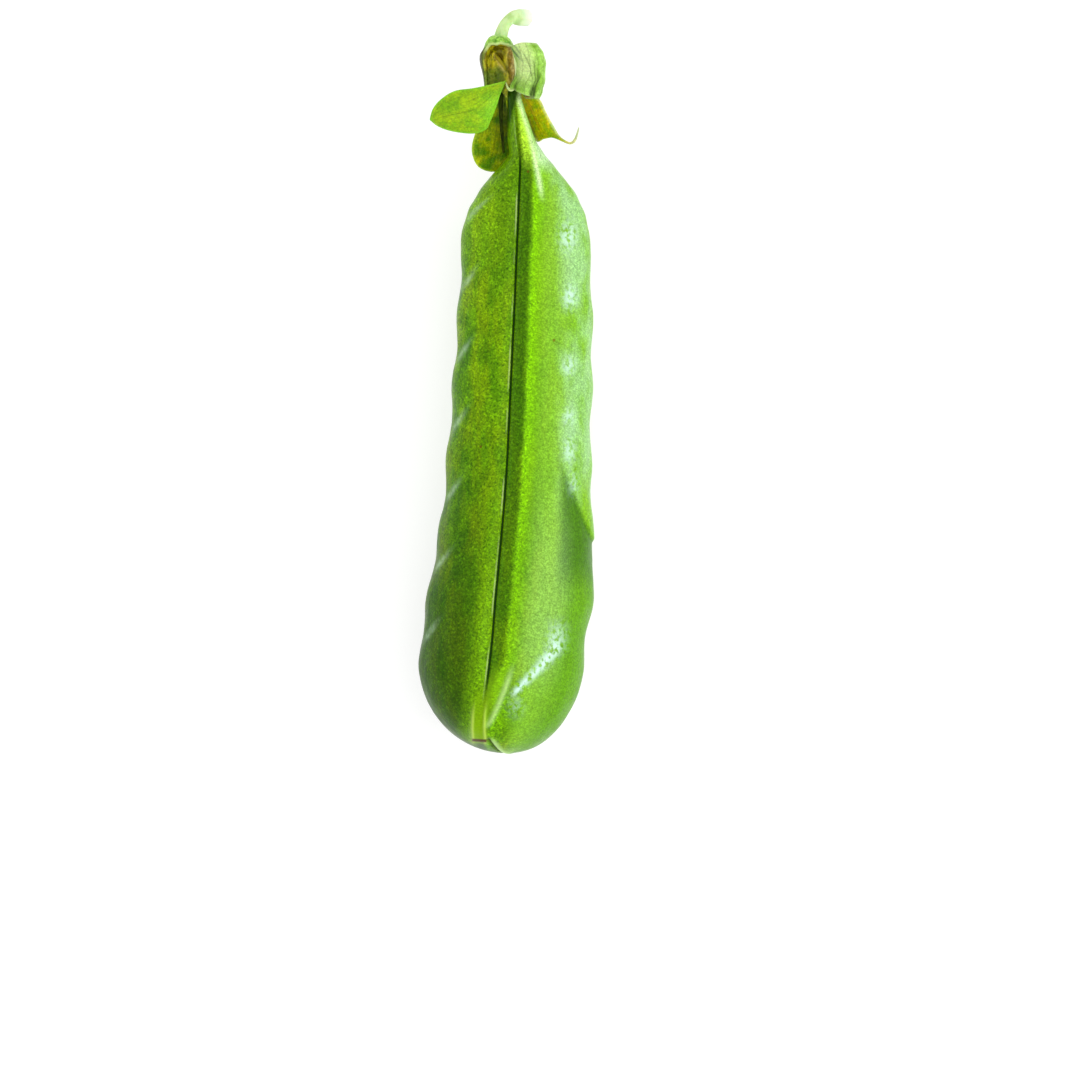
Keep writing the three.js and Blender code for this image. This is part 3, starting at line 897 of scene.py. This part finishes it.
def make_blades():
    green = leaf_skin("sepal_green", (122, 176, 0), (158, 196, 2), (128, 206, 40))
    yellow = leaf_skin(
        "sepal_yellow", (148, 182, 0), (228, 208, 0), (214, 228, 170), dark=(180, 104, 0)
    )
    deep = leaf_skin("sepal_deep", (98, 150, 0), (196, 206, 0), (196, 220, 50))
    blade(
        "broad_sepal",
        "sepal_upper_left",
        left=[
            (-2.55, 63.75, 12.9),
            (-3.0, 62.5, 12.6),
            (-3.3, 61.4, 12.2),
            (-3.75, 60.1, 11.95),
            (-4.2, 59.15, 11.7),
            (-5.4, 58.72, 11.5),
            (-7.4, 58.85, 11.4),
            (-8.7, 59.25, 11.25),
            (-9.5, 59.8, 11.15),
        ],
        right=[
            (-2.45, 63.8, 12.95),
            (-4.2, 63.3, 12.95),
            (-5.6, 62.95, 12.8),
            (-7.25, 62.65, 12.4),
            (-8.45, 61.9, 11.9),
            (-9.25, 60.95, 11.5),
            (-9.55, 59.95, 11.2),
        ],
        camber=0.45,
        material=green,
        bright=lambda u, v: bell(u - 0.25, 0.22) * fade(v, 0.75, 0.05),
    )
    blade(
        "left_sepal",
        "sepal_lower_left",
        left=[
            (-3.5, 63.5, 10.3),
            (-4.5, 60.6, 9.9),
            (-5.25, 58.5, 9.5),
            (-5.42, 57.3, 9.1),
            (-5.2, 56.35, 8.8),
            (-4.75, 55.7, 8.5),
            (-4.1, 55.38, 8.2),
        ],
        right=[
            (-2.7, 63.4, 10),
            (-2.2, 61, 8.9),
            (-1.6, 59.3, 7.8),
            (-1.4, 58, 7.1),
            (-1.5, 57.2, 6.9),
            (-2.0, 56.2, 7.0),
            (-2.7, 55.45, 7.3),
            (-3.5, 55.25, 7.8),
        ],
        camber=-0.3,
        material=deep,
        shade=lambda u, v: fade(v, 0.35, 0.8) * fade(u, 0.85, 0.5),
    )
    blade(
        "right_sepal",
        "sepal_lower_right",
        left=[
            (-1.1, 63, 9.7),
            (-0.8, 61.2, 9.1),
            (-0.1, 59.7, 8.5),
            (0.7, 58.35, 8.6),
            (1.3, 58.55, 9.4),
            (2.1, 58.75, 10),
            (3.1, 58.42, 10.4),
            (3.9, 58.16, 10.5),
            (4.42, 58.55, 10.5),
            (4.66, 59.75, 10.5),
        ],
        right=[
            (-0.4, 63.0, 10.2),
            (0.8, 62.2, 10.5),
            (1.4, 61.1, 10.5),
            (2.2, 59.8, 10.5),
            (2.9, 58.85, 10.5),
            (3.8, 58.3, 10.5),
            (4.25, 58.65, 10.5),
            (4.6, 59.8, 10.5),
        ],
        camber=0.15,
        material=yellow,
        bright=lambda u, v: fade(u, 0.72, 0.95),
        shade=lambda u, v: 0.5 * (bell(v - 0.1, 0.1) + bell(v - 0.45, 0.06)) * fade(u, 0.6, 0.25),
        waves=0.2,
    )
    blade(
        "under_sepal",
        "sepal_lower_middle",
        left=[
            (-2.8, 63.3, 9.3),
            (-2.7, 61, 7.5),
            (-2.4, 59.2, 5.9),
            (-1.6, 58, 4.4),
            (-1.0, 57.4, 3.6),
        ],
        right=[
            (-1.8, 63.3, 9.3),
            (-0.7, 61, 7.5),
            (-0.4, 59.2, 5.9),
            (-0.6, 58, 4.4),
            (-0.9, 57.4, 3.6),
        ],
        camber=-0.3,
        material=deep,
    )


# where a vein starts across the roll, its slant, and the part of the length it runs over
ROLL_VEINS = [
    (0.2, 0.2, 0.15, 0.8),
    (0.31, 0.1, 0.3, 1.1),
    (0.4, 0.02, 0.45, 1.1),
    (0.5, -0.1, 0.5, 1.2),
]


def make_rolled_sepal():
    """Rolled into a tube beside the cup: its open edge faces the cup, its foot is gathered."""
    rows, columns = 120, 170
    u = np.linspace(0, 1, rows)[:, None]
    v = np.linspace(0, 1, columns)[None, :]
    angle = ROLL_START + ROLL_TURN * v
    top = ROLL_TOP - 0.3 * np.maximum(-np.sin(angle), 0) ** 2
    foot = ROLL_FOOT - 0.8 * fade(v, 0.0, 0.45)
    y = top + (foot - top) * u
    gather = fade(u, 0.55, 1.0)
    pleats = np.sin(angle * 6 + 3.5 * u) * gather + 0.5 * np.sin(angle * 11 + 2 * u) * gather
    r = ROLL_RADIUS(y) * (1 - 0.15 * v) + 0.08 * pleats
    x = ROLL_MIDDLE(y) + r * np.sin(angle)
    z = ROLL_HEIGHT + r * np.cos(angle)
    bend = lumps(x, y, z, 1.6, 2) * 0.1
    middle = np.stack([x + bend * np.sin(angle), y, z + bend * np.cos(angle)], axis=2)
    veins = 0.5 * np.maximum(0, np.cos(angle * 12 + 1.6 * u + 8 * bend)) ** 10
    for start, slant, first, final in ROLL_VEINS:
        run = fade(u, first, first + 0.1) * fade(u, final, final - 0.2)
        veins = veins + bell(v - start - slant * u, 0.012) * run
    veins = veins + 0.9 * np.maximum(0, -pleats) * gather
    crease = bell(v - 0.03 - 0.45 * u, 0.03) * fade(u, 0.42, 0.2)
    crease = crease + 0.8 * bell(v - 0.13 - 0.3 * u, 0.02) * fade(u, 0.3, 0.1)
    open_edge = 1.7 * fade(v, 0.06, 0.01) + 0 * u
    top_edge = fade(u, 0.05, 0.0) + 0 * v
    end_edge = fade(u, 0.94, 1.0) + 0 * v
    # painted light: the roll's outer face is made lighter on the side that faces the light
    lit = fade(np.abs(angle + 0.45), 1.1, 0.2) * fade(u, 1.0, 0.5)
    middle[..., 2] -= 0.1 * crease
    thickness = 0.26 - 0.06 * open_edge
    middle[..., 2] -= 0.04 * veins
    points, faces = sheet_points_and_faces(middle, thickness)
    size = rows * columns
    outer = np.r_[np.ones(size), np.zeros(size)]
    values = {
        "vein": np.tile(np.ravel(np.minimum(veins, 1.4) + 0 * u), 2),
        "margin": np.tile(np.ravel(open_edge + 0.6 * top_edge + 0.4 * end_edge), 2),
        "bright": np.tile(np.ravel(0.8 * lit + 0 * u), 2) * outer,
        "shade": np.tile(np.ravel(crease), 2),
        "brown": 1 - outer,
    }
    material = leaf_skin(
        "rolled_sepal_green",
        young=(116, 168, 26),
        old=(156, 206, 84),
        edge=(220, 236, 166),
        brown=(150, 118, 56),
        dark=(24, 78, 56),
        veins=0.8,
    )
    lip_points, lip_faces = roll_lip()
    faces += [tuple(corner + len(points) for corner in face) for face in lip_faces]
    for key, numbers in values.items():
        on_lip = LIP_MARGIN if key == "margin" else 0.0
        values[key] = np.r_[np.ravel(numbers), np.full(len(lip_points), on_lip)]
    points = np.vstack([points, lip_points])
    add_piece("rolled_sepal", points, faces, "sepal_upper_right", material, values)


def roll_lip():
    """The curled margin of the rolled sepal, which turns up in a small U at its foot."""
    count, sides = 70, 20
    path = through(
        [
            (-1.9, 66.45, 13.0),
            (-1.61, 65.3, 13.15),
            (-1.48, 64.2, 13.2),
            (-1.58, 63.35, 13.1),
            (-1.9, 62.96, 12.9),
            (-2.25, 63.1, 12.7),
            (-2.5, 63.65, 12.4),
        ],
        count,
    )
    radius = smooth([(0, 0.04), (0.3, 0.13), (0.7, 0.15), (1, 0.05)])(np.linspace(0, 1, count))
    points = tube(path, radius, sides, lambda turn: 1 + 0.12 * np.cos(turn * 3))
    return points, ring_faces(count, sides)


def cup_rim(angle):
    """Distance from the dome to the rim. angle is 0 on top and grows to the left."""
    turn = angle + CUP_CLEFT_TURN
    from_cleft = np.abs(np.arctan2(np.sin(turn), np.cos(turn))) - CUP_CLEFT_HALF_ANGLE
    from_lip = np.arctan2(np.sin(angle + 2.35), np.cos(angle + 2.35))
    length = CUP_LENGTH + 0.85 * bell(from_lip, 0.45)
    return length + (CUP_CLEFT - length) * fade(from_cleft, 0.45, -0.4)


def make_cup():
    """A bell with a domed top, split open over its upper side, with a dry brown inside."""
    sides, steps = 180, 50
    angle = 2 * np.pi * np.arange(sides) / sides
    rim = cup_rim(angle) + 0.06 * np.sin(angle * 5) + 0.03 * np.sin(angle * 11)
    cleft = fade(rim, 2.1, 1.4)
    outside = smooth(
        [
            (0, 0.5),
            (0.12, 0.8),
            (0.45, 1.14),
            (0.85, 1.33),
            (1.2, 1.42),
            (1.6, 1.62),
            (2.1, CUP_RADIUS),
            (2.7, 1.7),
            (3.4, 1.5),
            (4.6, 1.25),
            (5.4, 1.15),
        ]
    )
    right_stretch = smooth([(0, 1), (1.5, 1.05), (2.8, 1.25), (4, 1.5), (5.4, 1.35)])
    rings = []
    names = ("inside", "margin", "pit", "warm", "leafy", "foot", "dull", "fold")
    values = {name: [] for name in names}

    def add_ring(along, radius, height, **numbers):
        x = -radius * np.sin(angle)
        x = np.where(x > 0, x * right_stretch(along), x)
        rings.append(np.stack([x, -along, height], axis=1))
        for key, store in values.items():
            store.append(numbers.get(key, 0.0) * np.ones(sides))

    for i in range(steps + 1):
        along = rim * i / steps
        radius = outside(along) * (1 + 0.025 * np.sin(angle * 7 + 1.0))
        height = radius * np.cos(angle)
        across = -radius * np.sin(angle)
        pale = fade(rim - along, 0.3, 0.06) * cleft
        dull = fade(across, -0.8, -1.3) * fade(along, 1.0, 1.7)
        add_ring(along, radius, height, margin=pale, foot=fade(along, 0.5, 0.1), dull=dull)
    for i in range(steps, 0, -1):
        along = CUP_FLOOR + (rim - CUP_FLOOR) * i / steps
        share = (i / steps) ** 0.35
        radius = (outside(along) - CUP_WALL) * share
        across = -radius * np.sin(angle)
        rumple = lumps(across, along, radius * np.cos(angle), 0.8, 3) * 0.22 * fade(along, 1.0, 1.6)
        height = np.maximum(radius * np.cos(angle), 0.1 * radius) + rumple
        # the pit and the valley beside the fold also carry painted shade
        pit = bell(across - 0.1, 0.36) * bell(along - 2.1, 0.35) + 0.25 * fade(along, 1.4, 1.2)
        from_fold = across + 0.35 - 0.5 * (along - 1.9)
        fold_run = fade(along, 1.6, 2.0) * fade(along, 4.0, 3.2)
        valley = bell(from_fold - 0.4, 0.2) * fold_run
        left_wall = fade(across, -0.9, -1.3) * fade(along, 5.5, 3.5)
        add_ring(
            along,
            radius,
            height - 0.25 * pit + 0.2 * bell(from_fold, 0.18) * fold_run - 0.12 * valley,
            inside=1.0,
            margin=fade(i / steps, 0.93, 1.0) * cleft,
            pit=np.minimum(pit + 0.6 * left_wall + 0.4 * valley, 1),
            warm=fade(across, 0.5, 1.1),
            fold=bell(from_fold, 0.18) * fold_run,
            leafy=fade(along + 0.5 * across, 2.5, 3.3) * fade(across, 0.9, 0.3),
        )
    points = np.vstack([[(0, 0, 0)], np.vstack(rings), [(0, -CUP_FLOOR, 0)]])
    cos, sin = math.cos(-CUP_TILT), math.sin(-CUP_TILT)
    y, z = points[:, 1].copy(), points[:, 2].copy()
    points[:, 1] = y * cos - z * sin
    points[:, 2] = y * sin + z * cos
    points += np.array(CUP_TOP)
    at_points = {}
    for key, store in values.items():
        numbers = np.ravel(store)
        at_points[key] = np.r_[numbers[0], numbers, numbers[-1]]
    faces = ring_faces(len(rings), sides)
    return add_piece("calyx_bell", points, faces, "calyx_cup", cup_skin(), at_points)


# ---------------------------------------------------------------- stamens and stalk


def tube(path, radius, sides, roundness):
    """Rings round a path. roundness lets each ring be wider or narrower in places."""
    along = np.gradient(path, axis=0)
    along /= np.linalg.norm(along, axis=1, keepdims=True)
    across = np.cross(along, (0.1, 0.2, 1.0))
    across /= np.linalg.norm(across, axis=1, keepdims=True)
    above = np.cross(along, across)
    turn = 2 * np.pi * np.arange(sides)[None, :] / sides
    r = (radius[:, None] * roundness(turn))[..., None]
    spoke = np.cos(turn)[..., None] * across[:, None, :]
    spoke = spoke + np.sin(turn)[..., None] * above[:, None, :]
    rings = path[:, None, :] + r * spoke
    return np.vstack([path[:1], rings.reshape(-1, 3), path[-1:]])


def make_stamens():
    # The thread lies in the crevice between the left sepal and the neck; its near-black colour also
    # stands for the shadow there.
    count, sides = 80, 20
    path = through(
        [
            (-2.7, 64.4, 10.7),
            (-2.8, 63.2, 10.9),
            (-2.85, 61.3, 11.2),
            (-2.7, 59.5, 10.6),
            (-2.5, 58, 10.1),
            (-2.4, 57.1, 9.8),
        ],
        count,
    )
    radius = np.linspace(0.24, 0.1, count)
    points = tube(path, radius, sides, lambda turn: 1 + 0.3 * np.cos(turn * 3))
    faces = ring_faces(count, sides)
    return add_piece("stamen_thread", points, faces, "dried_stamens", stamen_and_shadow_skin())


def make_stalk():
    count, sides = 120, 48
    path = through(
        [
            (-3.23, 67.9, 11.2),
            (-3.08, 68.6, 11.2),
            (-2.82, 69.25, 11.0),
            (-2.25, 69.85, 10.5),
            (-1.4, 70.0, 9.8),
            (-0.65, 70.0, 9.1),
        ],
        count,
    )
    radius = smooth(
        [(0, 0.66), (0.12, 0.6), (0.4, 0.53), (0.62, 0.7), (0.78, 0.79), (0.95, 0.78), (1, 0.6)]
    )
    share = np.linspace(0, 1, count)
    points = tube(path, radius(share), sides, lambda turn: 1 + 0.04 * np.cos(turn * 5))
    cut = np.repeat(fade(share, 0.55, 1.0), sides)
    faces = ring_faces(count, sides)
    values = {"cut": np.r_[0, cut, 1]}
    return add_piece("stalk_stem", points, faces, "stalk", stalk_skin(), values)


# ---------------------------------------------------------------- floor, light and camera


def make_floor():
    size = 1.5
    bpy.ops.mesh.primitive_plane_add(size=size, location=(0, 0, -0.00001))
    floor = bpy.context.object
    floor.name = "floor"
    skin = Skin("floor_white", 0.8, Emission_Strength=0.65)
    skin.shader.inputs["Emission Color"].default_value = (1, 1, 1, 1)
    floor.data.materials.append(skin.finish((172, 172, 172)))


def add_light(name, place, size, power, target=(0, 0, 0.006)):
    lamp = bpy.data.lights.new(name, "AREA")
    lamp.shape = "RECTANGLE"
    lamp.size, lamp.size_y = size
    lamp.energy = power
    holder = bpy.data.objects.new(name, lamp)
    holder.location = place
    aim = Vector(target) - Vector(place)
    holder.rotation_euler = aim.to_track_quat("-Z", "Y").to_euler()
    bpy.context.scene.collection.objects.link(holder)


def make_lights():
    """A bright even room, a window to the right, and two small lamps that glint on the wax."""
    add_light("right_window", (0.34, 0.05, 0.16), (0.3, 0.14), 0.24)
    add_light("overhead", (0.08, 0.05, 0.6), (0.5, 0.5), 0.75)
    add_light("right_glint", (0.34, 0.02, 0.075), (0.05, 0.07), 0.16)
    add_light("lower_right_glint", (0.26, -0.1, 0.2), (0.06, 0.16), 0.14)
    world = bpy.data.worlds.new("studio")
    world.use_nodes = True
    world.node_tree.nodes["Background"].inputs["Color"].default_value = (1, 1, 1, 1)
    world.node_tree.nodes["Background"].inputs["Strength"].default_value = 0.97
    bpy.context.scene.world = world


def make_camera():
    """Straight above, turned a little, with the pod above and left of the picture's middle."""
    aim = to_frame([PICTURE_MIDDLE])[0]
    camera = bpy.data.cameras.new("camera")
    camera.sensor_width = 36
    camera.lens = camera.sensor_width * CAMERA_HEIGHT / (PICTURE_WIDTH * METRES)
    camera.clip_start = 0.01
    holder = bpy.data.objects.new("camera", camera)
    holder.location = (aim[0], aim[1], aim[2] + CAMERA_HEIGHT)
    holder.rotation_euler = (0, 0, math.radians(PICTURE_TURN))
    bpy.context.scene.collection.objects.link(holder)
    bpy.context.scene.camera = holder


make_camera()
make_lights()
make_floor()
make_pod()
make_cup()
make_blades()
make_rolled_sepal()
make_stamens()
make_stalk()
bpy.context.scene.view_settings.view_transform = "Standard"
